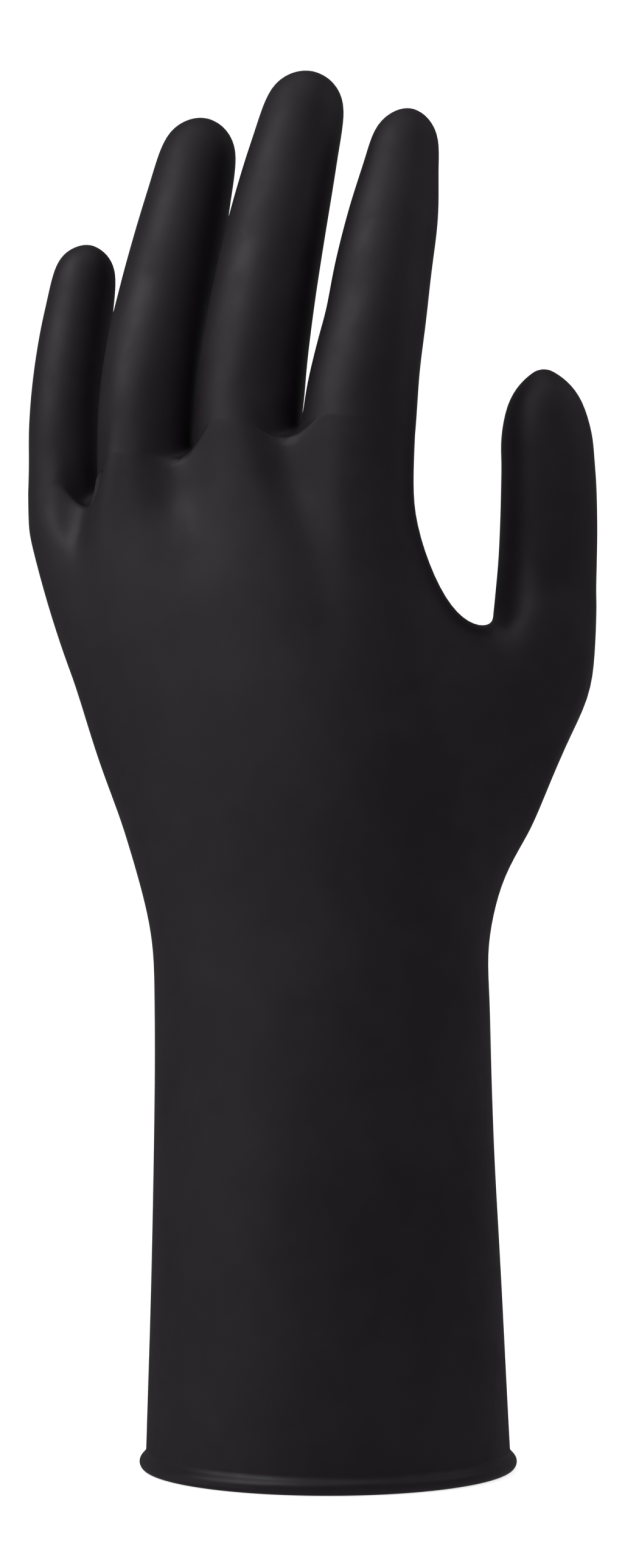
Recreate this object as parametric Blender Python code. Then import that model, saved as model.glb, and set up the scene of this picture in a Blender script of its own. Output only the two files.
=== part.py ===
"""A left-hand electrical insulating glove of dip-moulded rubber, standing on its rolled cuff.

World units are metres: +Z runs from the cuff to the fingertips, +X to the thumb side and -Y to
the back of the hand. The tables of sizes below are in millimetres, measured from the centre of
the cuff on the floor. The bottom centre of the finished glove's box is the world origin.
"""

import math
from typing import NamedTuple

import bmesh
import bpy
import numpy as np

MM = 0.001
WALL = 1.2
HINGE_HALF_GAP = 1.2
FOLD_CLEARANCE = 0.35
CUT_MARGIN = math.radians(3.0)
GLOVE_CENTRE = (-11.5, 0.0)

# The rolled bead at the cuff's end: a ring of rubber whose lowest part is flat.
BEAD_HEIGHT = 5.2
BEAD_HALF_WIDTH = 2.4
BEAD_OUTWARD = -0.1
BEAD_FLAT_HALF = 0.9
BEAD_CORNERS = 10

# Cross-sections of the cuff, the wrist and the palm:
# height, centre x, centre y, half width, half depth, squareness.
TRUNK = (
    (0.0, 0.0, 0.0, 46.6, 46.8, 2.0),
    (15.0, -0.2, 0.0, 46.1, 45.6, 2.0),
    (50.0, -0.7, 0.0, 45.2, 41.8, 2.0),
    (82.0, -1.4, 0.0, 44.4, 37.4, 2.05),
    (112.0, -1.9, 0.0, 44.2, 33.6, 2.1),
    (135.0, -2.8, 0.0, 44.6, 31.0, 2.15),
    (160.0, -6.8, -1.0, 47.5, 29.0, 2.2),
    (185.0, -13.2, -2.5, 50.6, 26.5, 2.25),
    (210.0, -19.7, -4.0, 51.7, 23.5, 2.35),
    (235.0, -25.6, -5.5, 52.9, 20.0, 2.5),
    (258.0, -29.6, -6.5, 53.9, 16.5, 2.6),
)
TRUNK_COLUMNS = 40
CUFF_FOOT = 5.6
WRIST_HEIGHT = 141.0
WRIST_SWING = math.radians(20.0)
PALM_ROWS = (
    (168.0, 0.0),
    (180.0, 0.0),
    (192.0, 0.0),
    (203.0, 0.03),
    (213.5, 0.12),
    (226.0, 0.25),
    (240.0, 0.5),
    (251.0, 0.8),
)
KNUCKLE_HEIGHT = 262.0

# The swelling under the thumb: height, how far it stands out.
THENAR = (
    (135.0, 0.0),
    (151.0, 5.4),
    (163.0, 12.8),
    (175.0, 19.2),
    (190.0, 17.0),
    (208.0, 5.0),
    (225.0, 0.0),
)
THENAR_ANGLE = math.radians(110.0)
THENAR_SPREAD = math.radians(34.0)
THENAR_WAY = (0.88, 0.47)

# The thumb leaves the palm through this window in the palm's grid.
THUMB_COLUMNS = (18, 22)
THUMB_ROWS = (1, 5)
THUMB_START = (197.5, 13.5)

WEB_HEIGHTS = (250.0, 261.5, 265.0)
WEB_DIP = 3.5


class Stall(NamedTuple):
    """One finger stall: its sections are height, x, y, half width, half depth."""

    name: str
    sections: tuple
    side: tuple
    cap_length: float
    cap_fullness: float
    root: float
    middle: float
    root_bends: tuple
    middle_bends: tuple


FINGER_ROOT_BENDS = (math.radians(60.0), math.radians(10.0))
FINGER_MIDDLE_BENDS = (math.radians(70.0), math.radians(5.0))
SIDEWAYS = (1.0, 0.0, 0.0)

LITTLE = Stall(
    "little",
    (
        (250.0, -74.0, -2.6, 10.0, 9.7),
        (268.0, -74.7, -1.8, 9.9, 9.5),
        (280.0, -75.0, 0.4, 9.7, 9.3),
        (292.0, -75.1, 3.8, 9.4, 9.1),
        (306.0, -74.9, 8.0, 8.6, 8.2),
    ),
    SIDEWAYS,
    11.0,
    2.0,
    261.0,
    284.0,
    FINGER_ROOT_BENDS,
    FINGER_MIDDLE_BENDS,
)
RING = Stall(
    "ring",
    (
        (257.0, -47.5, -9.4, 12.8, 12.0),
        (270.0, -47.4, -8.8, 12.8, 11.9),
        (286.0, -47.2, -5.4, 12.7, 11.7),
        (301.0, -47.0, 0.8, 12.4, 11.4),
        (317.0, -46.8, 8.6, 12.0, 11.0),
        (336.0, -46.4, 17.0, 10.6, 10.0),
    ),
    SIDEWAYS,
    14.5,
    2.1,
    273.0,
    303.0,
    FINGER_ROOT_BENDS,
    FINGER_MIDDLE_BENDS,
)
MIDDLE = Stall(
    "middle",
    (
        (263.0, -19.2, -8.0, 14.0, 13.0),
        (285.0, -18.4, -5.0, 13.9, 12.8),
        (301.0, -17.9, -0.4, 13.5, 12.5),
        (317.0, -17.4, 5.4, 13.0, 12.0),
        (332.0, -17.0, 12.0, 12.2, 11.3),
        (347.0, -16.4, 18.8, 11.0, 10.4),
    ),
    SIDEWAYS,
    14.0,
    2.1,
    277.0,
    309.0,
    FINGER_ROOT_BENDS,
    FINGER_MIDDLE_BENDS,
)
INDEX = Stall(
    "index",
    (
        (263.0, 12.9, -7.0, 13.6, 12.6),
        (280.0, 12.9, -3.8, 13.4, 12.3),
        (292.0, 12.9, 0.4, 13.1, 12.0),
        (305.0, 12.7, 5.6, 12.6, 11.6),
        (321.0, 12.6, 12.8, 11.6, 10.8),
        (335.0, 12.2, 19.0, 9.6, 9.2),
    ),
    SIDEWAYS,
    15.0,
    2.0,
    277.0,
    307.0,
    FINGER_ROOT_BENDS,
    FINGER_MIDDLE_BENDS,
)
THUMB = Stall(
    "thumb",
    (
        (184.0, 38.0, 14.5, 21.0, 17.0),
        (198.0, 45.6, 22.2, 18.6, 15.2),
        (211.0, 48.0, 26.8, 15.2, 13.7),
        (224.0, 48.0, 29.4, 13.4, 12.9),
        (245.0, 48.2, 30.8, 13.1, 12.4),
        (255.0, 48.1, 30.7, 12.7, 12.1),
        (264.0, 47.7, 30.4, 12.0, 11.6),
    ),
    (-0.26, 0.97, 0.0),
    17.0,
    1.6,
    228.0,
    252.0,
    (math.radians(35.0), math.radians(10.0)),
    (math.radians(50.0), math.radians(5.0)),
)
FINGERS = (LITTLE, RING, MIDDLE, INDEX)
RING_POINTS = 16


def smooth(stations, at):
    """The values of a table at one position, on a cubic through its rows."""
    table = np.array(stations, float)
    keys = table[:, 0]
    values = table[:, 1:]
    at = min(max(at, keys[0]), keys[-1])
    slopes = np.gradient(values, keys, axis=0)
    i = min(int(np.searchsorted(keys, at, side="right")) - 1, len(keys) - 2)
    span = keys[i + 1] - keys[i]
    t = (at - keys[i]) / span
    start = (2 * t**3 - 3 * t**2 + 1) * values[i] + (t**3 - 2 * t**2 + t) * span * slopes[i]
    end = (3 * t**2 - 2 * t**3) * values[i + 1] + (t**3 - t**2) * span * slopes[i + 1]
    return start + end


def signed_power(value, power):
    return math.copysign(abs(value) ** power, value)


def trunk_point(height, column):
    """A point on the outside of the cuff or palm; columns run round from the little-finger side."""
    centre_x, centre_y, half_width, half_depth, squareness = smooth(TRUNK, height)
    angle = math.radians(-72.0 + 9.0 * column)
    away = math.remainder(angle - THENAR_ANGLE, 2 * math.pi) / THENAR_SPREAD
    swell = smooth(THENAR, height)[0] * math.exp(-away * away)
    x = centre_x + half_width * signed_power(math.sin(angle), 2 / squareness)
    y = centre_y - half_depth * signed_power(math.cos(angle), 2 / squareness)
    return np.array((x + swell * THENAR_WAY[0], y + swell * THENAR_WAY[1], height))


def trunk_ring(height):
    return [trunk_point(height, column) for column in range(TRUNK_COLUMNS)]


def wrist_ring(side, reach):
    """A ring of the trunk beside the wrist's hinge, further off towards the front and back."""
    slope = math.tan(WRIST_SWING / 2 + CUT_MARGIN)
    ring = []
    for column in range(TRUNK_COLUMNS):
        depth = abs(trunk_point(WRIST_HEIGHT, column)[1])
        ring.append(trunk_point(WRIST_HEIGHT + side * (reach + depth * slope), column))
    return ring


def stall_frame(stall, height):
    """Centre, way to the back of the finger, way across it, way along it, and its two half sizes."""
    x, y, half_width, half_depth = smooth(stall.sections, height)
    before = smooth(stall.sections, height - 1.0)
    after = smooth(stall.sections, height + 1.0)
    first = max(height - 1.0, stall.sections[0][0])
    last = min(height + 1.0, stall.sections[-1][0])
    along = np.array((after[0] - before[0], after[1] - before[1], last - first))
    along /= np.linalg.norm(along)
    back = np.cross(stall.side, along)
    back /= np.linalg.norm(back)
    across = np.cross(along, back)
    return np.array((x, y, height)), back, across, along, half_width, half_depth


def stall_point(stall, height, k):
    centre, back, across, _, half_width, half_depth = stall_frame(stall, height)
    angle = math.radians(-45.0 + 22.5 * k)
    return centre + back * half_depth * math.cos(angle) + across * half_width * math.sin(angle)


def stall_ring(stall, heights):
    """A ring round a stall, at one height for each of its points."""
    return [stall_point(stall, height, k) for k, height in enumerate(heights)]


def cut_heights(stall, hinge, bends, side, reach):
    """Heights of an edge beside a hinge: it stands off by half of each bend, so no pieces meet."""
    inward, backward = bends
    half_depth = stall_frame(stall, hinge)[5]
    heights = []
    for k in range(RING_POINTS):
        depth = half_depth * math.cos(math.radians(-45.0 + 22.5 * k))
        bend = backward if depth > 0 else inward
        offset = reach + abs(depth) * math.tan(bend / 2 + CUT_MARGIN)
        heights.append(hinge + side * offset)
    return heights


def stall_tube(stall, low, high, steps):
    """Quads of a stall's outside between two edges, each given as its points' heights."""
    rings = []
    for step in range(steps + 1):
        share = step / steps
        rings.append(stall_ring(stall, [a + (b - a) * share for a, b in zip(low, high)]))
    return strips(rings)


def web_line(web):
    """The line of a finger crotch from the back of the hand to the palm."""
    lower = FINGERS[web]
    upper = FINGERS[web + 1]
    line = []
    for i in range(5):
        from_lower = stall_point(lower, lower.sections[0][0], 4 + i)
        from_upper = stall_point(upper, upper.sections[0][0], 16 - i)
        point = (from_lower + from_upper) / 2
        point[2] = WEB_HEIGHTS[web] - WEB_DIP * (abs(i - 2) / 2) ** 1.5
        line.append(point)
    return line


def finger_base_ring(number):
    """A finger's lowest ring, which shares its sides with its neighbours."""
    stall = FINGERS[number]
    ring = stall_ring(stall, [stall.sections[0][0]] * RING_POINTS)
    if number < 3:
        ring[4:9] = web_line(number)
    if number > 0:
        line = web_line(number - 1)
        ring[13:16] = line[3:0:-1]
        ring[12] = line[4]
        ring[0] = line[0]
    return ring


def knuckle_ring():
    """The palm's top ring, made of the outer sides of the four finger bases."""
    bases = [finger_base_ring(number) for number in range(4)]
    ring = []
    for base in bases:
        ring += base[0:4]
    ring += bases[3][4:8]
    for base in reversed(bases):
        ring += base[8:12]
    ring += bases[0][12:16]
    return ring


def palm_rings():
    """Rings from the wrist's upper edge to the knuckles; they turn slowly into the knuckle ring."""
    top = knuckle_ring()
    rings = [wrist_ring(1, HINGE_HALF_GAP)]
    for height, share in PALM_ROWS:
        ring = []
        for column in range(TRUNK_COLUMNS):
            target = top[column] + np.array((0.0, 0.0, height - KNUCKLE_HEIGHT))
            ring.append(trunk_point(height, column) * (1 - share) + target * share)
        rings.append(ring)
    return rings + [top]


def thumb_window(rings):
    """The edge of the window for the thumb, in the order of the points of a stall's ring."""
    first, last = THUMB_COLUMNS
    bottom, top = THUMB_ROWS
    edge = [rings[bottom][column] for column in range(first, last)]
    edge += [rings[row][last] for row in range(bottom, top)]
    edge += [rings[top][column] for column in range(last, first, -1)]
    edge += [rings[row][first] for row in range(top, bottom, -1)]
    return edge


def strip(lower, upper):
    """Quads between two closed rings."""
    count = len(lower)
    quads = []
    for i in range(count):
        j = (i + 1) % count
        quads.append((lower[i], lower[j], upper[j], upper[i]))
    return quads


def strips(rings):
    quads = []
    for lower, upper in zip(rings, rings[1:]):
        quads += strip(lower, upper)
    return quads


def thumb_start_heights():
    """Heights at which the thumb's own surface would meet its window, low on the outer side."""
    middle, swing = THUMB_START
    return [middle - swing * math.cos(math.radians(-45.0 + 22.5 * k)) for k in range(RING_POINTS)]


def stub(stall, edge, start, steps):
    """Quads from an edge in the palm up to the first hinge of a finger or the thumb."""
    top = cut_heights(stall, stall.root, stall.root_bends, -1, HINGE_HALF_GAP)
    first = [a + (b - a) / steps for a, b in zip(start, top)]
    return strip(edge, stall_ring(stall, first)) + stall_tube(stall, first, top, steps - 1)


def palm_quads(rings):
    quads = []
    for row, (lower, upper) in enumerate(zip(rings, rings[1:])):
        for column, quad in enumerate(strip(lower, upper)):
            in_rows = THUMB_ROWS[0] <= row < THUMB_ROWS[1]
            in_columns = THUMB_COLUMNS[0] <= column < THUMB_COLUMNS[1]
            if not (in_rows and in_columns):
                quads.append(quad)
    return quads


def cap_faces(stall):
    """The round end of a stall."""
    height = stall.sections[-1][0]
    centre, back, across, along, half_width, half_depth = stall_frame(stall, height)
    rings = [stall_ring(stall, [height] * RING_POINTS)]
    for degrees in (28.0, 52.0, 72.0):
        rise = math.sin(math.radians(degrees))
        size = (1 - rise**stall.cap_fullness) ** (1 / stall.cap_fullness)
        ring = []
        for k in range(RING_POINTS):
            angle = math.radians(-45.0 + 22.5 * k)
            flat = back * half_depth * math.cos(angle) + across * half_width * math.sin(angle)
            ring.append(centre + along * stall.cap_length * rise + flat * size)
        rings.append(ring)
    pole = centre + along * stall.cap_length
    faces = strips(rings)
    for k in range(RING_POINTS):
        faces.append((rings[-1][k], rings[-1][(k + 1) % RING_POINTS], pole))
    return faces


def rubber(name, colour, roughness):
    material = bpy.data.materials.new(name)
    material.use_nodes = True
    shader = material.node_tree.nodes["Principled BSDF"]
    shader.inputs["Base Color"].default_value = (*colour, 1.0)
    shader.inputs["Roughness"].default_value = roughness
    return material


def put_mesh(name, faces, origin, material):
    """An object from faces in glove millimetres, with its origin at the given glove point."""
    pivot = np.array((origin[0] - GLOVE_CENTRE[0], origin[1] - GLOVE_CENTRE[1], origin[2])) * MM
    mesh = bmesh.new()
    for face in faces:
        mesh.faces.new([mesh.verts.new((point - np.array(origin)) * MM) for point in face])
    bmesh.ops.remove_doubles(mesh, verts=mesh.verts, dist=1e-6)
    data = bpy.data.meshes.new(name)
    mesh.to_mesh(data)
    mesh.free()
    data.materials.append(material)
    placed = bpy.data.objects.new(name, data)
    placed.location = pivot
    bpy.context.collection.objects.link(placed)
    return placed


def put_shell(name, faces, origin, material):
    """A thin wall whose outside is the given faces."""
    shell = put_mesh(name, faces, origin, material)
    wall = shell.modifiers.new("Rubber wall", "SOLIDIFY")
    wall.thickness = WALL * MM
    wall.offset = -1.0
    wall.use_even_offset = True
    return shell


def build_cuff_roll(material):
    """The rolled rim, which the glove stands on."""
    rim = trunk_ring(0.0)
    rings = []
    middle = BEAD_HEIGHT / 2
    profile = [(-BEAD_FLAT_HALF, 0.0), (BEAD_FLAT_HALF, 0.0)]
    for i in range(BEAD_CORNERS):
        angle = math.radians(-52.0 + 284.0 * i / (BEAD_CORNERS - 1))
        profile.append((BEAD_HALF_WIDTH * math.cos(angle), middle + middle * math.sin(angle)))
    for out, height in profile:
        ring = []
        for point in rim:
            way = point[:2] / np.array(TRUNK[0][3:5]) ** 2
            way /= np.linalg.norm(way)
            flat = point[:2] + way * (out - WALL / 2 + BEAD_OUTWARD)
            ring.append(np.array((flat[0], flat[1], height)))
        rings.append(ring)
    rings.append(rings[0])
    return put_mesh("cuff_roll", strips(rings), (0.0, 0.0, 0.0), material)


def build_gauntlet(material):
    heights = (32.0, 58.0, 84.0, 108.0)
    rings = [trunk_ring(height) for height in (CUFF_FOOT, *heights)]
    rings.append(wrist_ring(-1, HINGE_HALF_GAP))
    return put_shell("gauntlet", strips(rings), (0.0, 0.0, 0.0), material)


def build_wrist_fold(material):
    reach = HINGE_HALF_GAP - FOLD_CLEARANCE
    faces = strip(wrist_ring(-1, reach), wrist_ring(1, reach))
    return put_shell("wrist_fold", faces, wrist_pivot(), material)


def wrist_pivot():
    centre_x, centre_y = smooth(TRUNK, WRIST_HEIGHT)[:2]
    return (centre_x, centre_y, WRIST_HEIGHT)


def build_hand(material):
    """The palm and back of the hand, up to the first hinge of each finger and the thumb."""
    rings = palm_rings()
    faces = palm_quads(rings)
    for number, stall in enumerate(FINGERS):
        start = [stall.sections[0][0]] * RING_POINTS
        faces += stub(stall, finger_base_ring(number), start, 2)
    faces += stub(THUMB, thumb_window(rings), thumb_start_heights(), 4)
    return put_shell("hand", faces, wrist_pivot(), material)


def build_stall(stall, material):
    """The two rigid lengths of one stall, and the two folds that bend below them."""
    fold_reach = HINGE_HALF_GAP - FOLD_CLEARANCE
    root = tuple(stall_frame(stall, stall.root)[0])
    middle = tuple(stall_frame(stall, stall.middle)[0])
    for fold, hinge, bends, pivot in (
        ("root_fold", stall.root, stall.root_bends, root),
        ("middle_fold", stall.middle, stall.middle_bends, middle),
    ):
        low = cut_heights(stall, hinge, bends, -1, fold_reach)
        high = cut_heights(stall, hinge, bends, 1, fold_reach)
        put_shell(f"{stall.name}_{fold}", stall_tube(stall, low, high, 1), pivot, material)
    low = cut_heights(stall, stall.root, stall.root_bends, 1, HINGE_HALF_GAP)
    high = cut_heights(stall, stall.middle, stall.middle_bends, -1, HINGE_HALF_GAP)
    put_shell(f"{stall.name}_base", stall_tube(stall, low, high, 2), root, material)
    low = cut_heights(stall, stall.middle, stall.middle_bends, 1, HINGE_HALF_GAP)
    high = [stall.sections[-1][0]] * RING_POINTS
    faces = stall_tube(stall, low, high, 2) + cap_faces(stall)
    put_shell(f"{stall.name}_tip", faces, middle, material)


def main():
    for item in list(bpy.data.objects):
        bpy.data.objects.remove(item)
    skin = rubber("charcoal_rubber", (0.022, 0.021, 0.023), 0.5)
    bead = rubber("bead_rubber", (0.026, 0.025, 0.027), 0.45)
    build_cuff_roll(bead)
    build_gauntlet(skin)
    build_wrist_fold(skin)
    build_hand(skin)
    for stall in (*FINGERS, THUMB):
        build_stall(stall, skin)


main()
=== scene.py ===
"""The looks of a left-hand electrical insulating glove, standing on its rolled cuff.

The glove is one smooth skin of charcoal rubber. Here the whole skin is drawn as one coarse net,
rounded by subdivision, and then cut into lengths: each length lies over one of the glove's hinges,
and every cut lies where nothing bends. Tables of sizes are in millimetres from the centre
of the cuff on the floor; the finished pieces are in metres in the frame's own axes.
"""

import math
from typing import NamedTuple

import bpy
import numpy as np
from mathutils import Matrix, Vector


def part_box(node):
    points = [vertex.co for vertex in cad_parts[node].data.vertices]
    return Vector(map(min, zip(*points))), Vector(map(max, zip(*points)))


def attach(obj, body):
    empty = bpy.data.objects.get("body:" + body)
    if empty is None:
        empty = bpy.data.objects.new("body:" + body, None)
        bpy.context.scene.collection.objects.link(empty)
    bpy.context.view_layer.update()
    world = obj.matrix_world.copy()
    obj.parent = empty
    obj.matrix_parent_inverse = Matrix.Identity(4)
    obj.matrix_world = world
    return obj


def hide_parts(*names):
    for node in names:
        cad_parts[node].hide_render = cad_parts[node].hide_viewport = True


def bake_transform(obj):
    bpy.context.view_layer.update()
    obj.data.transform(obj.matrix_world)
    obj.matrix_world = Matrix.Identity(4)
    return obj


MM = 0.001
WALL = 1.2

# ---------------------------------------------------------------- sizes of the glove

# Cross-sections of the cuff, the wrist and the palm:
# height, centre x, centre y, half width, half depth, squareness.
TRUNK = (
    (0.0, 0.0, 0.0, 46.6, 46.8, 2.0),
    (15.0, -0.2, 0.0, 46.1, 45.6, 2.0),
    (50.0, -0.7, 0.0, 45.2, 41.8, 2.0),
    (82.0, -1.4, 0.0, 44.4, 37.4, 2.05),
    (112.0, -1.9, 0.0, 44.2, 33.6, 2.1),
    (135.0, -2.8, 0.0, 44.6, 31.0, 2.15),
    (160.0, -6.8, -1.0, 47.5, 29.0, 2.2),
    (185.0, -13.2, -2.5, 50.6, 26.5, 2.25),
    (210.0, -19.7, -4.0, 51.7, 23.5, 2.35),
    (235.0, -25.6, -5.5, 52.9, 20.0, 2.5),
    (258.0, -29.6, -6.5, 53.9, 16.5, 2.6),
)
TRUNK_COLUMNS = 40
FIRST_COLUMN_DEGREES = -72.0
COLUMN_STEP_DEGREES = 9.0
# Heights of the rings up the cuff and wrist.
SLEEVE_ROWS = (
    *(3.0, 8.0, 16.0, 30.0, 46.0, 62.0, 78.0),
    *(94.0, 108.0, 120.0, 131.0, 141.0, 151.0, 160.0),
)
# Heights of the palm's rings, and how far each has turned into the knuckles' outline.
PALM_ROWS = (
    (168.0, 0.0),
    (180.0, 0.0),
    (192.0, 0.0),
    (201.0, 0.02),
    (209.0, 0.07),
    (223.0, 0.16),
    (240.0, 0.38),
    (251.0, 0.72),
)
KNUCKLE_HEIGHT = 262.0

# The swelling under the thumb: height, how far it stands out.
THENAR = (
    (135.0, 0.0),
    (151.0, 5.4),
    (163.0, 12.8),
    (175.0, 19.2),
    (190.0, 17.0),
    (208.0, 5.0),
    (225.0, 0.0),
)
THENAR_ANGLE = math.radians(110.0)
THENAR_SPREAD = math.radians(34.0)
THENAR_WAY = (0.88, 0.47)

# The thumb leaves the palm through this window in the net.
THUMB_COLUMNS = (18, 22)
THUMB_ROWS = (1, 5)
THUMB_ROOT_STEPS = 4
THUMB_START = (197.5, 13.5)
THUMB_SEAM = 219.0

# The crotches between the fingers: height at the middle, and the fall to either side.
WEB_HEIGHTS = (249.5, 260.5, 265.0)
WEB_DIPS = (3.5, 3.5, 3.5)
# Columns of the palm that end in a crotch.
WEB_COLUMNS = (4, 8, 12, 24, 28, 32)
WEB_COLLAR = 2.2
RING_POINTS = 16
FIRST_POINT_DEGREES = -45.0
POINT_STEP_DEGREES = 22.5
RING_SPACING = 6.0
CAP_RINGS = (28.0, 52.0, 72.0)
ROUNDING = 2
FITTING_ROUNDS = 3
EASING_ROUNDS = 3


class Stall(NamedTuple):
    """One finger stall. Its sections are height, x, y, half width, half depth.

    Its hinges lie at the heights root and middle. Between them, at the seam, its two lengths meet.
    """

    name: str
    sections: tuple
    side: tuple
    cap_length: float
    cap_fullness: float
    root: float
    middle: float
    seam: float
    reach: tuple


SIDEWAYS = (1.0, 0.0, 0.0)
LITTLE = Stall(
    "little",
    (
        (250.0, -74.0, -2.6, 10.0, 9.7),
        (268.0, -74.7, -1.8, 9.9, 9.5),
        (280.0, -75.0, 0.4, 9.7, 9.3),
        (292.0, -75.1, 3.8, 9.4, 9.1),
        (306.0, -74.9, 8.0, 8.6, 8.2),
    ),
    SIDEWAYS,
    11.0,
    2.0,
    261.0,
    284.0,
    272.5,
    (10.0, 10.0),
)
RING = Stall(
    "ring",
    (
        (257.0, -47.5, -9.4, 12.8, 12.0),
        (270.0, -47.4, -8.8, 12.8, 11.9),
        (286.0, -47.2, -5.4, 12.7, 11.7),
        (301.0, -47.0, 0.8, 12.4, 11.4),
        (317.0, -46.8, 8.6, 12.0, 11.0),
        (336.0, -46.4, 17.0, 10.6, 10.0),
    ),
    SIDEWAYS,
    14.5,
    2.1,
    273.0,
    303.0,
    288.0,
    (12.0, 13.0),
)
MIDDLE = Stall(
    "middle",
    (
        (263.0, -19.2, -8.0, 14.0, 13.0),
        (285.0, -18.4, -5.0, 13.9, 12.8),
        (301.0, -17.9, -0.4, 13.5, 12.5),
        (317.0, -17.4, 5.4, 13.0, 12.0),
        (332.0, -17.0, 12.0, 12.2, 11.3),
        (347.0, -16.4, 18.8, 11.0, 10.4),
    ),
    SIDEWAYS,
    14.0,
    2.1,
    277.0,
    309.0,
    293.0,
    (12.0, 13.0),
)
INDEX = Stall(
    "index",
    (
        (263.0, 11.3, -7.0, 15.2, 12.6),
        (280.0, 12.3, -3.8, 14.0, 12.3),
        (292.0, 12.9, 0.4, 13.1, 12.0),
        (305.0, 12.7, 5.6, 12.6, 11.6),
        (321.0, 12.6, 12.8, 11.6, 10.8),
        (335.0, 12.2, 19.0, 9.6, 9.2),
    ),
    SIDEWAYS,
    15.0,
    2.0,
    277.0,
    307.0,
    292.0,
    (12.0, 13.0),
)
THUMB = Stall(
    "thumb",
    (
        (184.0, 38.0, 14.5, 21.0, 17.0),
        (198.0, 45.6, 22.2, 18.6, 15.2),
        (211.0, 48.0, 26.8, 15.2, 13.7),
        (224.0, 48.0, 29.4, 13.4, 12.9),
        (245.0, 48.2, 30.8, 13.1, 12.4),
        (255.0, 48.1, 30.7, 12.7, 12.1),
        (264.0, 47.7, 30.4, 12.0, 11.6),
    ),
    (-0.26, 0.97, 0.0),
    17.0,
    1.7,
    228.0,
    252.0,
    240.0,
    (8.0, 10.0),
)
FINGERS = (LITTLE, RING, MIDDLE, INDEX)

# ---------------------------------------------------------------- points on the glove


def smooth(stations, at):
    """The values of a table at one position, on a cubic through its rows."""
    table = np.array(stations, float)
    keys = table[:, 0]
    values = table[:, 1:]
    at = min(max(at, keys[0]), keys[-1])
    slopes = np.gradient(values, keys, axis=0)
    i = min(int(np.searchsorted(keys, at, side="right")) - 1, len(keys) - 2)
    span = keys[i + 1] - keys[i]
    t = (at - keys[i]) / span
    start = (2 * t**3 - 3 * t**2 + 1) * values[i] + (t**3 - 2 * t**2 + t) * span * slopes[i]
    end = (3 * t**2 - 2 * t**3) * values[i + 1] + (t**3 - t**2) * span * slopes[i + 1]
    return start + end


def signed_power(value, power):
    return math.copysign(abs(value) ** power, value)


def trunk_point(height, column):
    """A point on the outside of the cuff or palm; columns run from the little finger round."""
    centre_x, centre_y, half_width, half_depth, squareness = smooth(TRUNK, height)
    angle = math.radians(FIRST_COLUMN_DEGREES + COLUMN_STEP_DEGREES * column)
    away = math.remainder(angle - THENAR_ANGLE, 2 * math.pi) / THENAR_SPREAD
    swell = smooth(THENAR, height)[0] * math.exp(-away * away)
    x = centre_x + half_width * signed_power(math.sin(angle), 2 / squareness)
    y = centre_y - half_depth * signed_power(math.cos(angle), 2 / squareness)
    return np.array((x + swell * THENAR_WAY[0], y + swell * THENAR_WAY[1], height))


def trunk_ring(height):
    return [trunk_point(height, column) for column in range(TRUNK_COLUMNS)]


def stall_frame(stall, height):
    """Centre, ways to the back, across and along the finger, and its two half sizes."""
    first = stall.sections[0][0]
    last = stall.sections[-1][0]
    at = min(max(height, first), last)
    below = max(at - 1.0, first)
    above = min(at + 1.0, last)
    x, y, half_width, half_depth = smooth(stall.sections, at)
    step = smooth(stall.sections, above) - smooth(stall.sections, below)
    along = np.array((step[0], step[1], above - below))
    along /= np.linalg.norm(along)
    back = np.cross(stall.side, along)
    back /= np.linalg.norm(back)
    across = np.cross(along, back)
    return np.array((x, y, height)), back, across, along, half_width, half_depth


def ring_angle(k):
    return math.radians(FIRST_POINT_DEGREES + POINT_STEP_DEGREES * k)


def stall_point(stall, height, k):
    centre, back, across, _, half_width, half_depth = stall_frame(stall, height)
    angle = ring_angle(k)
    return centre + back * half_depth * math.cos(angle) + across * half_width * math.sin(angle)


def stall_ring(stall, heights):
    """A ring round a stall, at one height for each of its points."""
    return [stall_point(stall, height, k) for k, height in enumerate(heights)]


def web_line(web):
    """The line of a finger crotch from the back of the hand to the palm."""
    lower = FINGERS[web]
    upper = FINGERS[web + 1]
    line = []
    for i in range(5):
        from_lower = stall_point(lower, lower.sections[0][0], 4 + i)
        from_upper = stall_point(upper, upper.sections[0][0], 16 - i)
        point = (from_lower + from_upper) / 2
        point[2] = WEB_HEIGHTS[web] - WEB_DIPS[web] * (abs(i - 2) / 2) ** 1.5
        line.append(point)
    return line


def finger_base_ring(number):
    """A finger's lowest ring, which shares its sides with its neighbours."""
    stall = FINGERS[number]
    ring = stall_ring(stall, [stall.sections[0][0]] * RING_POINTS)
    if number < 3:
        ring[4:9] = web_line(number)
    if number > 0:
        line = web_line(number - 1)
        ring[13:16] = line[3:0:-1]
        ring[12] = line[4]
        ring[0] = line[0]
    return ring


def knuckle_ring():
    """The palm's top ring, made of the outer sides of the four finger bases."""
    bases = [finger_base_ring(number) for number in range(4)]
    ring = []
    for base in bases:
        ring += base[0:4]
    ring += bases[3][4:8]
    for base in reversed(bases):
        ring += base[8:12]
    ring += bases[0][12:16]
    return ring


def palm_rings():
    """Rings from the sleeve's top to the knuckles; they turn slowly into the knuckle ring."""
    top = knuckle_ring()
    rings = [trunk_ring(SLEEVE_ROWS[-1])]
    for height, share in PALM_ROWS:
        ring = []
        for column in range(TRUNK_COLUMNS):
            target = top[column] + np.array((0.0, 0.0, height - KNUCKLE_HEIGHT))
            ring.append(trunk_point(height, column) * (1 - share) + target * share)
        rings.append(ring)
    return rings + [top]


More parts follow.
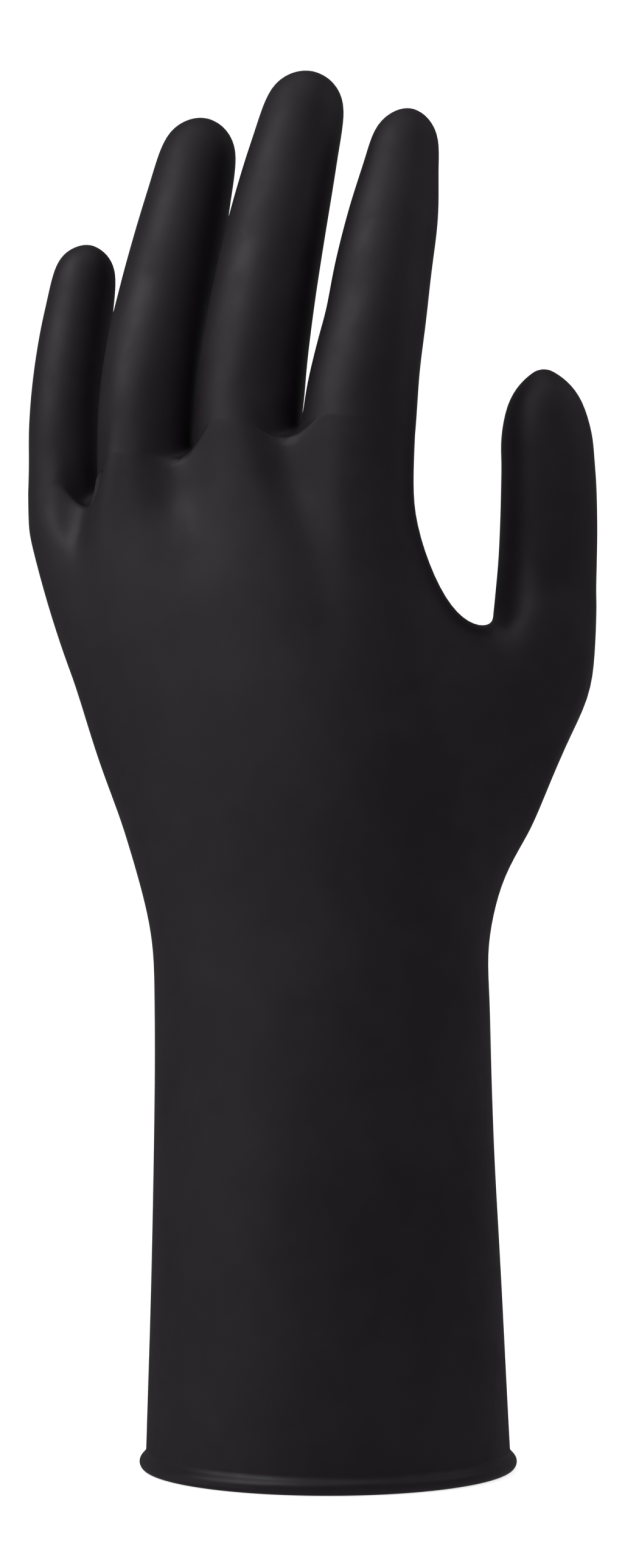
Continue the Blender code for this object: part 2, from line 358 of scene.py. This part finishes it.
def thumb_window(rings):
    """The edge of the window for the thumb, in the order of the points of a stall's ring."""
    first, last = THUMB_COLUMNS
    bottom, top = THUMB_ROWS
    edge = [rings[bottom][column] for column in range(first, last)]
    edge += [rings[row][last] for row in range(bottom, top)]
    edge += [rings[top][column] for column in range(last, first, -1)]
    edge += [rings[row][first] for row in range(top, bottom, -1)]
    return edge


def thumb_start_heights():
    """Heights at which the thumb's own surface would meet its window, low on the outer side."""
    middle, swing = THUMB_START
    return [middle - swing * math.cos(ring_angle(k)) for k in range(RING_POINTS)]


def collar_heights(number):
    """Heights of the ring just above a finger's base, which makes the crotches round."""
    stall = FINGERS[number]
    first = stall.sections[0][0]
    own = stall_ring(stall, [first] * RING_POINTS)
    base = finger_base_ring(number)
    return [first + base[k][2] - own[k][2] + WEB_COLLAR for k in range(RING_POINTS)]


# ---------------------------------------------------------------- the coarse net


def strip(lower, upper):
    """Quads between two closed rings."""
    count = len(lower)
    quads = []
    for i in range(count):
        j = (i + 1) % count
        quads.append((lower[i], lower[j], upper[j], upper[i]))
    return quads


def strips(rings):
    quads = []
    for lower, upper in zip(rings, rings[1:]):
        quads += strip(lower, upper)
    return quads


def tube_rings(stall, start, high):
    """Rings up a stall, from a ring given by its points' heights to a level ring."""
    steps = max(2, round((high - max(start)) / RING_SPACING))
    rings = []
    for step in range(steps + 1):
        share = step / steps
        rings.append(stall_ring(stall, [height + (high - height) * share for height in start]))
    return rings


def cap_point(stall, size, angle):
    """A point on a stall's round end: size is 1 where the end begins and 0 at its pole."""
    centre, back, across, along, half_width, half_depth = stall_frame(stall, stall.sections[-1][0])
    rise = (1 - size**stall.cap_fullness) ** (1 / stall.cap_fullness)
    flat = back * half_depth * math.cos(angle) + across * half_width * math.sin(angle)
    return centre + along * stall.cap_length * rise + flat * size


def cap_patch(stall, edge_size):
    """The middle of a stall's end, a square patch of quads with no pole in it."""
    rows = []
    for b in (1.0, 0.5, 0.0, -0.5, -1.0):
        row = []
        for a in (-1.0, -0.5, 0.0, 0.5, 1.0):
            reach = max(abs(a), abs(b))
            if reach == 0.0:
                angle = 0.0
            elif abs(b) >= abs(a):
                angle = math.radians(45.0) * a / b + (0.0 if b > 0 else math.pi)
            else:
                angle = math.copysign(math.pi / 2, a) - math.radians(45.0) * b / a
            row.append(cap_point(stall, edge_size * reach, angle))
        rows.append(row)
    quads = []
    for upper, lower in zip(rows, rows[1:]):
        for i in range(4):
            quads.append((upper[i], upper[i + 1], lower[i + 1], lower[i]))
    return quads


def cap(stall):
    """The round end of a stall."""
    rings = [stall_ring(stall, [stall.sections[-1][0]] * RING_POINTS)]
    for degrees in CAP_RINGS:
        rise = math.sin(math.radians(degrees))
        size = (1 - rise**stall.cap_fullness) ** (1 / stall.cap_fullness)
        rings.append([cap_point(stall, size, ring_angle(k)) for k in range(RING_POINTS)])
    return strips(rings) + cap_patch(stall, size)


def palm_quads(rings):
    """The palm's quads, without the window for the thumb."""
    quads = []
    for row, (lower, upper) in enumerate(zip(rings, rings[1:])):
        for column, quad in enumerate(strip(lower, upper)):
            in_rows = THUMB_ROWS[0] <= row < THUMB_ROWS[1]
            in_columns = THUMB_COLUMNS[0] <= column < THUMB_COLUMNS[1]
            if not (in_rows and in_columns):
                quads.append(quad)
    return quads


def finger_rings(number):
    """A finger's rings from its base to its seam."""
    stall = FINGERS[number]
    return [finger_base_ring(number)] + tube_rings(stall, collar_heights(number), stall.seam)


def column_owner(column):
    """The finger above a column of the palm, and the number of its ring's point there."""
    if column < 16:
        return column // 4, column % 4
    if column < 20:
        return 3, column - 12
    if column < 36:
        return 3 - (column - 20) // 4, 8 + column % 4
    return 0, column - 24


def ease_knuckle(below, loose, above):
    """Moves loose points onto a smooth line that runs on from the two points on either side."""
    low, start = below
    end, high = above
    span = end[2] - start[2]
    leave = (start - low) * span / (start[2] - low[2])
    arrive = (high - end) * span / (high[2] - end[2])
    eased = []
    for point in loose:
        t = (point[2] - start[2]) / span
        first = (2 * t**3 - 3 * t**2 + 1) * start + (t**3 - 2 * t**2 + t) * leave
        last = (3 * t**2 - 2 * t**3) * end + (t**3 - t**2) * arrive
        eased.append(first + last)
    return eased


def ease_knuckles(rings, fingers):
    """Lets the back of the hand and the palm flow up into the fingers, away from the crotches."""
    for column in range(TRUNK_COLUMNS):
        if column in WEB_COLUMNS:
            continue
        number, k = column_owner(column)
        stack = fingers[number]
        loose = [rings[-2][column], stack[0][k], stack[1][k]]
        below = (rings[-4][column], rings[-3][column])
        above = (stack[2][k], stack[3][k])
        rings[-2][column], stack[0][k], stack[1][k] = ease_knuckle(below, loose, above)
        rings[-1][column] = stack[0][k]


def thumb_root_rings(rings):
    """Rings from the window in the palm to the thumb's seam."""
    start = thumb_start_heights()
    first = [height + (THUMB_SEAM - height) / THUMB_ROOT_STEPS for height in start]
    stack = [thumb_window(rings)]
    for step in range(THUMB_ROOT_STEPS):
        share = step / (THUMB_ROOT_STEPS - 1)
        stack.append(stall_ring(THUMB, [h + (THUMB_SEAM - h) * share for h in first]))
    return stack


def point_key(point):
    return tuple(np.round(point, 3))


def thumb_web_points(rings):
    """Points of the thumb's web and of its foot on the palm, left loose so that both are round."""
    bottom, top = THUMB_ROWS
    first, last = THUMB_COLUMNS
    found = rings[top][first : last + 1] + rings[top + 1][first : last + 1]
    for row in range(bottom, top + 2):
        found += rings[row][first - 2 : first + 1]
        found += rings[row][last : last + 4]
    for ring in thumb_root_rings(rings)[1:3]:
        found += ring[4:] + ring[:1]
    return {point_key(point) for point in found}


def glove_lengths():
    """The coarse quads of each length of the skin, by name, and the keys of the loose points."""
    rings = palm_rings()
    fingers = [finger_rings(number) for number in range(4)]
    ease_knuckles(rings, fingers)
    lengths = {
        "sleeve": strips([trunk_ring(height) for height in SLEEVE_ROWS]),
        "palm_and_back": palm_quads(rings) + strips(thumb_root_rings(rings)),
    }
    for stall, stack in zip(FINGERS, fingers):
        lengths[f"{stall.name}_lower"] = strips(stack)
    lengths["thumb_lower"] = strips(tube_rings(THUMB, [THUMB_SEAM] * RING_POINTS, THUMB.seam))
    for stall in (*FINGERS, THUMB):
        top = stall.sections[-1][0]
        upper = strips(tube_rings(stall, [stall.seam] * RING_POINTS, top))
        lengths[f"{stall.name}_upper"] = upper + cap(stall)
    return lengths, thumb_web_points(rings)


# ---------------------------------------------------------------- from the net to smooth skin


def weld(quads_by_name):
    """Points, quads as point numbers, and for each quad the number of its length."""
    numbers = {}
    points = []
    faces = []
    labels = []
    for label, quads in enumerate(quads_by_name.values()):
        for quad in quads:
            face = []
            for point in quad:
                key = point_key(point)
                if key not in numbers:
                    numbers[key] = len(points)
                    points.append(point)
                face.append(numbers[key])
            faces.append(face)
            labels.append(label)
    return np.array(points), faces, labels


def subdivide(points, faces, labels):
    """Catmull-Clark subdivision: the new points, their normals, the quads and their labels."""
    data = bpy.data.meshes.new("net")
    data.from_pydata([tuple(point) for point in points], [], faces)
    data.polygons.foreach_set("material_index", labels)
    net = bpy.data.objects.new("net", data)
    bpy.context.scene.collection.objects.link(net)
    rounding = net.modifiers.new("Rounding", "SUBSURF")
    rounding.levels = ROUNDING
    rounding.render_levels = ROUNDING
    fine = net.evaluated_get(bpy.context.evaluated_depsgraph_get()).to_mesh()
    count = len(fine.vertices)
    places = np.empty(count * 3, np.float32)
    fine.vertices.foreach_get("co", places)
    normals = np.empty(count * 3, np.float32)
    fine.vertex_normals.foreach_get("vector", normals)
    corners = np.empty(len(fine.polygons) * 4, np.int32)
    fine.polygons.foreach_get("vertices", corners)
    kinds = np.empty(len(fine.polygons), np.int32)
    fine.polygons.foreach_get("material_index", kinds)
    bpy.data.objects.remove(net)
    bpy.data.meshes.remove(data)
    places = places.reshape(-1, 3).astype(float)
    return places, normals.reshape(-1, 3), corners.reshape(-1, 4), kinds


def neighbours(points, faces):
    """Each net point's neighbours along the net's edges."""
    near = [set() for _ in points]
    for face in faces:
        for a, b in zip(face, face[1:] + face[:1]):
            near[a].add(b)
            near[b].add(a)
    return [sorted(found) for found in near]


def relaxed(points, faces, loose):
    """The net with its loose points drawn evenly between their neighbours."""
    near = neighbours(points, faces)
    eased = points.copy()
    for _ in range(EASING_ROUNDS):
        middles = {i: eased[near[i]].mean(axis=0) for i in loose}
        for i, middle in middles.items():
            eased[i] = middle
    return eased


def rounded(points, faces, labels, loose):
    """A subdivided net whose surface passes through the net's points, the loose ones apart."""
    target = relaxed(points, faces, loose)
    fixed = np.ones(len(points))
    fixed[loose] = 0.0
    net = target.copy()
    for _ in range(FITTING_ROUNDS):
        places = subdivide(net, faces, labels)[0]
        net += (target - places[: len(points)]) * fixed[:, None]
    return subdivide(net, faces, labels)


def walled(places, normals, quads):
    """A closed wall under a stretch of skin: points, faces, and a normal for each face corner."""
    used = np.unique(quads)
    place_of = np.zeros(len(places), int)
    place_of[used] = np.arange(len(used))
    outside = place_of[quads]
    inside = outside[:, ::-1] + len(used)
    outward = normals[used]
    points = np.concatenate([places[used], places[used] - outward * WALL])
    seen = {}
    for quad in outside:
        for a, b in zip(quad, np.roll(quad, -1)):
            seen[(a, b)] = True
    rim = [(b, a, a + len(used), b + len(used)) for a, b in seen if (b, a) not in seen]
    faces = np.concatenate([outside, inside, np.array(rim, int).reshape(-1, 4)])
    corner_normals = np.zeros((len(faces), 4, 3))
    corner_normals[: len(outside)] = outward[outside]
    corner_normals[len(outside) : len(outside) * 2] = -outward[inside - len(used)]
    return points, faces, corner_normals, len(outside)


def make_piece(name, points, faces, corner_normals, outside_count, materials):
    """A mesh object from glove millimetres, with the skin's own normals kept at its seams."""
    centre = cuff_centre()
    data = bpy.data.meshes.new(name)
    data.from_pydata([tuple(point * MM + centre) for point in points], [], faces.tolist())
    for material in materials:
        data.materials.append(material)
    sides = np.ones(len(faces), np.int32) * (len(materials) - 1)
    sides[:outside_count] = 0
    data.polygons.foreach_set("material_index", sides)
    data.polygons.foreach_set("use_smooth", [True] * len(faces))
    place = data.attributes.new("rest_place", "FLOAT_VECTOR", "POINT")
    place.data.foreach_set("vector", points.astype(np.float32).ravel())
    data.update()
    if corner_normals is not None:
        data.normals_split_custom_set(corner_normals.reshape(-1, 3).tolist())
    piece = bpy.data.objects.new(name, data)
    bpy.context.scene.collection.objects.link(piece)
    return piece


def cuff_centre():
    """Where the cuff's centre on the floor is in the frame, from the cuff roll's own box."""
    low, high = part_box("cuff_roll")
    return np.array(((low.x + high.x) / 2, (low.y + high.y) / 2, low.z))


# ---------------------------------------------------------------- the rolled rim

# Its outline: how far out from the skin's outer side, height. It runs from the outer side of the
# wall, round under the glove, to the inner side.
RIM_OUTLINE = (
    (0.03, 8.0),
    (0.05, 6.0),
    (0.16, 4.7),
    (0.6, 3.85),
    (1.35, 3.2),
    (1.85, 2.3),
    (1.75, 1.25),
    (1.1, 0.35),
    (0.1, 0.0),
    (-1.4, 0.0),
    (-2.4, 0.35),
    (-2.95, 1.25),
    (-3.0, 2.3),
    (-2.5, 3.3),
    (-1.8, 4.1),
    (-1.35, 5.0),
    (-1.26, 6.4),
    (-1.24, 8.0),
)


def rim_net():
    """The rim's rings, from the outer side of the wall under the roll to the inner side."""
    rings = []
    for out, height in RIM_OUTLINE:
        ring = []
        for column in range(TRUNK_COLUMNS):
            point = trunk_point(height, column)
            way = (point[:2] - smooth(TRUNK, height)[:2]) / smooth(TRUNK, height)[2:4] ** 2
            way /= np.linalg.norm(way)
            flat = point[:2] + way * out
            ring.append(np.array((flat[0], flat[1], height)))
        rings.append(ring)
    return rings + [rings[0]]


# ---------------------------------------------------------------- finishes


class Value:
    """A number that a shader node gives, with the sums that the rubber's patterns use."""

    def __init__(self, finish, socket):
        self.finish = finish
        self.socket = socket

    def _sum(self, operation, first, second):
        return self.finish.node("ShaderNodeMath", {"operation": operation}, {0: first, 1: second})

    def __add__(self, other):
        return self._sum("ADD", self, other)

    def __mul__(self, other):
        return self._sum("MULTIPLY", self, other)


class Finish:
    """A material under construction."""

    def __init__(self, name):
        self.material = bpy.data.materials.new(name)
        self.material.use_nodes = True
        self.tree = self.material.node_tree
        self.tree.nodes.clear()

    def node(self, kind, settings, sockets, output=0):
        """Adds a node, makes its settings, then fills its sockets with numbers or links."""
        node = self.tree.nodes.new(kind)
        for name, value in settings.items():
            if name == "stops":
                self._set_stops(node.color_ramp, value)
            else:
                setattr(node, name, value)
        for name, value in sockets.items():
            if isinstance(value, Value):
                self.tree.links.new(value.socket, node.inputs[name])
            else:
                node.inputs[name].default_value = value
        return Value(self, node.outputs[output]) if len(node.outputs) else None

    def _set_stops(self, ramp, stops):
        while len(ramp.elements) < len(stops):
            ramp.elements.new(1.0)
        for element, (position, colour) in zip(ramp.elements, stops):
            element.position = position
            element.color = (*colour, 1.0)

    def clouds(self, place, size, detail=2.0, roughness=0.5, stretch=(1.0, 1.0, 1.0), seed=0.0):
        """Soft noise from 0 to 1 whose patches are about the given size in millimetres."""
        moved = self.node(
            "ShaderNodeMapping",
            {},
            {"Vector": place, "Location": (seed, seed * 0.7, -seed), "Scale": stretch},
        )
        return self.node(
            "ShaderNodeTexNoise",
            {"noise_dimensions": "3D"},
            {"Vector": moved, "Scale": 1.0 / size, "Detail": detail, "Roughness": roughness},
        )

    def place(self):
        """The skin's own place at rest, in millimetres, which stays with it as it bends."""
        settings = {"attribute_type": "GEOMETRY", "attribute_name": "rest_place"}
        return self.node("ShaderNodeAttribute", settings, {}, output="Vector")

    def between(self, low, high, share):
        """A colour between two, by a share from 0 to 1."""
        return self.node(
            "ShaderNodeMix",
            {"data_type": "RGBA", "blend_type": "MIX"},
            {"Factor": share, 6: (*low, 1.0), 7: (*high, 1.0)},
            output=2,
        )

    def spread(self, value, low, high):
        """A value's range from low to high, stretched to 0 to 1 and held there."""
        return self.node(
            "ShaderNodeMapRange",
            {"interpolation_type": "SMOOTHSTEP"},
            {"Value": value, "From Min": low, "From Max": high, "To Min": 0.0, "To Max": 1.0},
        )

    def bumps(self, height, depth, normal=None):
        """Bumps on the surface: height runs from 0 to 1 and depth is in metres."""
        sockets = {"Height": height, "Distance": depth, "Strength": 1.0}
        if normal is not None:
            sockets["Normal"] = normal
        return self.node("ShaderNodeBump", {}, sockets)

    def surface(self, sockets):
        shader = self.node("ShaderNodeBsdfPrincipled", {}, sockets)
        self.node("ShaderNodeOutputMaterial", {}, {"Surface": shader})
        return self.material


# Linear colours of the rubber.
RUBBER_DEEP = (0.0106, 0.0074, 0.0108)
RUBBER_PALE = (0.0142, 0.0104, 0.0144)
# The rim's colours are the skin rubber's own, made a little lighter: a painted highlight on the
# rolled bead.
RIM_PAINTED_HIGHLIGHT_DEEP = (0.0112, 0.0084, 0.0114)
RIM_PAINTED_HIGHLIGHT_PALE = (0.0152, 0.0119, 0.0154)
SHEEN_LEVEL = 0.3
LINING_DEEP = (0.014, 0.013, 0.014)
LINING_PALE = (0.022, 0.021, 0.022)

# Lowest and highest roughness, then the depths of the grain and of the dip waves in metres.
SKIN_FINISH = (0.48, 0.6, 0.00001, 0.00035)
LINING_FINISH = (0.6, 0.75, 0.00002, 0.0002)
RIM_FINISH = (0.36, 0.48, 0.00001, 0.0002)

# Sizes of the rubber's patterns in millimetres.
WIDE_CLOUDS = 38.0
SMALL_CLOUDS = 7.0
HANDLING_MARKS = 15.0
DIP_WAVES = 24.0
GRAIN = 0.55


def moulded_rubber(name, deep, pale, sheen_low, sheen_high, grain_depth, wave_depth):
    """Smooth dipped rubber: clouded colour, uneven satin sheen, fine grain and slow dip waves."""
    finish = Finish(name)
    place = finish.place()
    wide_clouds = finish.clouds(place, WIDE_CLOUDS, detail=3.0, seed=4.0)
    small_clouds = finish.clouds(place, SMALL_CLOUDS, detail=3.0, roughness=0.6, seed=19.0)
    bloom = finish.spread(wide_clouds * 0.65 + small_clouds * 0.35, 0.35, 0.65)
    handling = finish.clouds(place, HANDLING_MARKS, detail=4.0, roughness=0.65, seed=31.0)
    roughness = finish.spread(handling, 0.3, 0.7) * (sheen_high - sheen_low) + sheen_low
    waves = finish.clouds(place, DIP_WAVES, detail=1.0, stretch=(1.0, 1.0, 0.35), seed=7.0)
    grain = finish.clouds(place, GRAIN, detail=2.0, seed=11.0)
    slow = finish.bumps(waves, wave_depth)
    fine = finish.bumps(grain, grain_depth, normal=slow)
    return finish.surface(
        {
            "Base Color": finish.between(deep, pale, bloom),
            "Roughness": roughness,
            "Specular IOR Level": SHEEN_LEVEL,
            "Normal": fine,
        }
    )


# ---------------------------------------------------------------- the pieces on the frame


def smooth_skin():
    """The whole skin, rounded: points, normals, and the quads of each length by name."""
    lengths, loose_keys = glove_lengths()
    points, faces, labels = weld(lengths)
    loose = [i for i, point in enumerate(points) if point_key(point) in loose_keys]
    places, normals, quads, kinds = rounded(points, faces, labels, loose)
    by_name = {name: quads[kinds == label] for label, name in enumerate(lengths)}
    return places, normals, by_name


def bend_over(piece):
    """Bakes the piece's place into its points."""
    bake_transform(piece)


def make_length(name, skin, materials):
    places, normals, by_name = skin
    points, faces, corner_normals, outside_count = walled(places, normals, by_name[name])
    return make_piece(name, points, faces, corner_normals, outside_count, materials)


def make_sleeve(skin, materials):
    """The long cuff and the wrist."""
    sleeve = make_length("sleeve", skin, materials)
    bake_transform(sleeve)
    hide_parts("gauntlet", "wrist_fold")


def make_palm(skin, materials):
    palm = make_length("palm_and_back", skin, materials)
    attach(palm, "hand")
    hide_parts("hand")


def make_stall(stall, skin, materials):
    """The lower length of a stall, over its root, and the upper, over its middle."""
    name = stall.name
    lower = make_length(f"{name}_lower", skin, materials)
    root_along = stall_frame(stall, stall.root)[3]
    bend_over(lower)
    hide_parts(f"{name}_root_fold", f"{name}_base")
    upper = make_length(f"{name}_upper", skin, materials)
    middle_along = stall_frame(stall, stall.middle)[3]
    bend_over(
        upper
    )
    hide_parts(f"{name}_middle_fold", f"{name}_tip")


def make_rim(material):
    """The rolled rim that the glove stands on."""
    points, faces, labels = weld({"rim": strips(rim_net())})
    places, _, quads, _ = subdivide(points, faces, labels)
    places[:, 2] = np.maximum(places[:, 2], 0.0)
    rim = make_piece("rolled_rim", places, quads, None, len(quads), [material])
    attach(rim, "cuff")
    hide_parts("cuff_roll")


# ---------------------------------------------------------------- the studio

# The camera looks at the back of the hand from the thumb's side. Its place is in metres, and the
# lens and the sensor in millimetres.
VIEW_TURN = math.radians(25.0)
VIEW_DISTANCE = 1.15
VIEW_HEIGHT = 0.1744
VIEW_ASIDE = 0.0064
LENS = 103.0
SENSOR_WIDTH = 36.0
TENT_LIGHT = 0.12
BACKDROP_GLOW = 0.8
# Name, then side, ahead and up from the glove, the light's size, and its power.
SOFT_BOXES = (
    ("upper_left", -0.65, 0.25, 0.6, (0.6, 0.6), 3.3),
    ("left", -1.3, 0.3, -0.2, (1.4, 1.6), 2.4),
    ("overhead", -0.2, 0.2, 1.2, (1.2, 1.2), 3.2),
    ("upper_right", 0.7, 0.0, 0.6, (0.7, 0.7), 0.6),
)

# The floor, seen from the side: how far behind the glove, height.
FLOOR_HALF_WIDTH = 6.0
FLOOR_OUTLINE = ((-6.0, 0.0), (3.0, 0.0), (4.2, 0.25), (4.9, 1.0), (5.1, 2.2), (5.1, 6.0))
FLOOR_DEEP = (0.8, 0.8, 0.8)
FLOOR_PALE = (0.84, 0.84, 0.84)
FLOOR_CLOUDS = 2.0
FLOOR_ROUGHNESS = 0.9


def studio_floor():
    """A pale floor that curves up into a wall far behind."""
    data = bpy.data.meshes.new("studio_floor")
    points = []
    for y, z in FLOOR_OUTLINE:
        points += [(-FLOOR_HALF_WIDTH, y, z), (FLOOR_HALF_WIDTH, y, z)]
    faces = []
    for i in range(len(FLOOR_OUTLINE) - 1):
        faces.append((2 * i, 2 * i + 1, 2 * i + 3, 2 * i + 2))
    data.from_pydata(points, [], faces)
    data.polygons.foreach_set("use_smooth", [True] * len(faces))
    finish = Finish("pale_floor")
    speckle = finish.node("ShaderNodeTexNoise", {}, {"Scale": FLOOR_CLOUDS, "Detail": 2.0})
    data.materials.append(
        finish.surface(
            {
                "Base Color": finish.between(FLOOR_DEEP, FLOOR_PALE, speckle),
                "Roughness": FLOOR_ROUGHNESS,
                "Emission Color": (1.0, 1.0, 1.0, 1.0),
                "Emission Strength": BACKDROP_GLOW,
            }
        )
    )
    floor = bpy.data.objects.new("studio_floor", data)
    floor.rotation_euler = (0.0, 0.0, VIEW_TURN)
    floor.visible_glossy = False
    bpy.context.scene.collection.objects.link(floor)


def soft_box(name, place, aim, size, power):
    data = bpy.data.lights.new(name, "AREA")
    data.shape = "RECTANGLE"
    data.size, data.size_y = size
    data.energy = power
    light = bpy.data.objects.new(name, data)
    light.location = place
    light.rotation_euler = (Vector(aim) - Vector(place)).to_track_quat("-Z", "Y").to_euler()
    bpy.context.scene.collection.objects.link(light)


def studio_light(aim):
    """A white tent: faint even light all round, and soft boxes, the strongest at upper left."""
    world = bpy.data.worlds.new("tent")
    bpy.context.scene.world = world
    world.use_nodes = True
    background = world.node_tree.nodes["Background"]
    background.inputs["Color"].default_value = (1.0, 1.0, 1.0, 1.0)
    background.inputs["Strength"].default_value = TENT_LIGHT
    for name, side, ahead, up, size, power in SOFT_BOXES:
        turn = Matrix.Rotation(VIEW_TURN, 3, "Z")
        place = Vector(aim) + turn @ Vector((side, -ahead, up))
        soft_box(name, place, aim, size, power)


def studio_camera(aim):
    data = bpy.data.cameras.new("camera")
    data.sensor_width = SENSOR_WIDTH
    data.lens = LENS
    camera = bpy.data.objects.new("camera", data)
    turn = Matrix.Rotation(VIEW_TURN, 3, "Z")
    camera.location = Vector(aim) + turn @ Vector((0.0, -VIEW_DISTANCE, 0.0))
    camera.rotation_euler = (math.radians(90.0), 0.0, VIEW_TURN)
    bpy.context.scene.collection.objects.link(camera)
    bpy.context.scene.camera = camera


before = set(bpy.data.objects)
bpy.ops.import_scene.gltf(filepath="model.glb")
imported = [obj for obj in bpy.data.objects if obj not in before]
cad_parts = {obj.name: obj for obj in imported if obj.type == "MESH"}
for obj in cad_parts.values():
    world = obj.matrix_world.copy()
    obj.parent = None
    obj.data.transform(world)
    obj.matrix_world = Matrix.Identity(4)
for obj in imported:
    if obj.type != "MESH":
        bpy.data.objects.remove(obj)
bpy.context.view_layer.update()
bpy.context.scene.view_settings.view_transform = "Standard"

skin_rubber = moulded_rubber("charcoal_rubber_skin", RUBBER_DEEP, RUBBER_PALE, *SKIN_FINISH)
lining_rubber = moulded_rubber(
    "charcoal_rubber_inside", LINING_DEEP, LINING_PALE, *LINING_FINISH
)
# The rim's lighter colours are a painted highlight on the bead.
rim_rubber = moulded_rubber("bead_rubber_painted_highlight", RIM_PAINTED_HIGHLIGHT_DEEP, RIM_PAINTED_HIGHLIGHT_PALE, *RIM_FINISH)

skin = smooth_skin()
make_sleeve(skin, [skin_rubber, lining_rubber])
make_palm(skin, [skin_rubber, lining_rubber])
for stall in (*FINGERS, THUMB):
    make_stall(stall, skin, [skin_rubber, lining_rubber])
make_rim(rim_rubber)

aside = Vector((math.cos(VIEW_TURN), math.sin(VIEW_TURN), 0.0)) * VIEW_ASIDE
aim = aside + Vector((0.0, 0.0, VIEW_HEIGHT))
studio_floor()
studio_light(aim)
studio_camera(aim)
